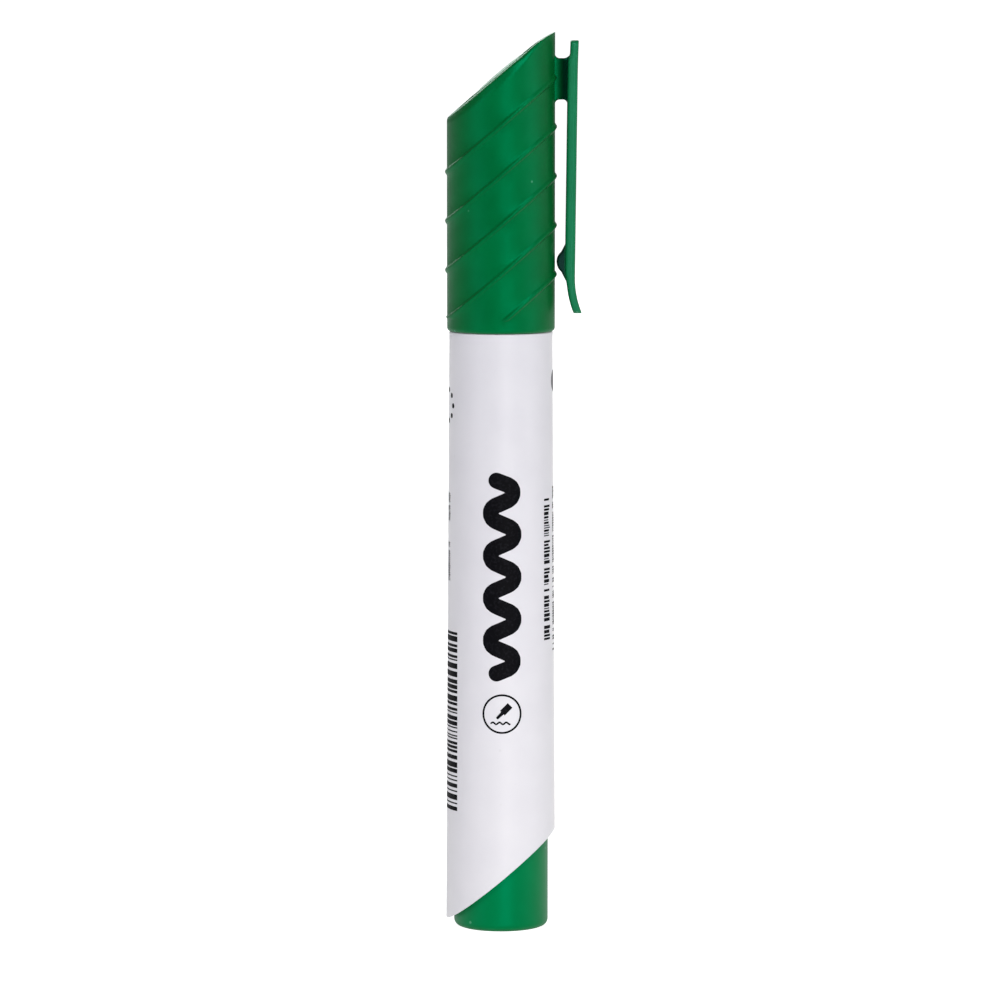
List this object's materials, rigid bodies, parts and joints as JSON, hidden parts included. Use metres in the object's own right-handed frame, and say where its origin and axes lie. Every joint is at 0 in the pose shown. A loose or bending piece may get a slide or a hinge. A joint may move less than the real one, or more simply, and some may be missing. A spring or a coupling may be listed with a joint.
{
  "type": "whiteboard marker",
  "caption": "Capped whiteboard marker: slant-topped green cap with ribs and side clip, white tapered barrel with slanted rear end, green end plug, bullet nib inside.",
  "frame": {"origin": "centre of the end plug's flat end face, on the marker's axis", "axes": "+Z along the marker's axis towards the cap's tip, +X towards the pocket clip; the marker is mirror-symmetric about the XZ plane"},
  "size_m": [0.0214, 0.0174, 0.14],
  "materials": {
    "cap_plastic": "satin moulded polypropylene, deep green",
    "plug_plastic": "satin moulded polypropylene, mid green",
    "barrel_plastic": "satin moulded polypropylene, white",
    "print_ink": "screen-printed black",
    "liner_plastic": "soft natural polyethylene",
    "holder_plastic": "moulded polypropylene, white",
    "nib_fibre": "bonded acrylic fibre soaked with green ink",
    "reservoir_fibre": "polyester fibre rod soaked with green ink",
    "wrap_film": "clear film"
  },
  "bodies": {
    "barrel": {"barrel": "barrel_plastic", "nib_holder": "holder_plastic", "nib": "nib_fibre", "ink_reservoir": "reservoir_fibre", "reservoir_wrap": "wrap_film", "end_plug": "plug_plastic"},
    "cap": {"cap_shell": "cap_plastic", "inner_cap": "liner_plastic"},
    "clip": {"pocket_clip": "cap_plastic"}
  },
  "joints": [
    {"name": "cap_pull", "type": "slide", "parent": "barrel", "child": "cap", "axis": [0, 0, 1], "range_m": [0, 0.045]},
    {"name": "clip_flex", "type": "hinge", "parent": "cap", "child": "clip", "pos_m": [0.01046, 0, 0.13655], "axis": [0, -1, 0], "range_deg": [0, 6], "stiffness_Nm_per_rad": 0.16}
  ]
}
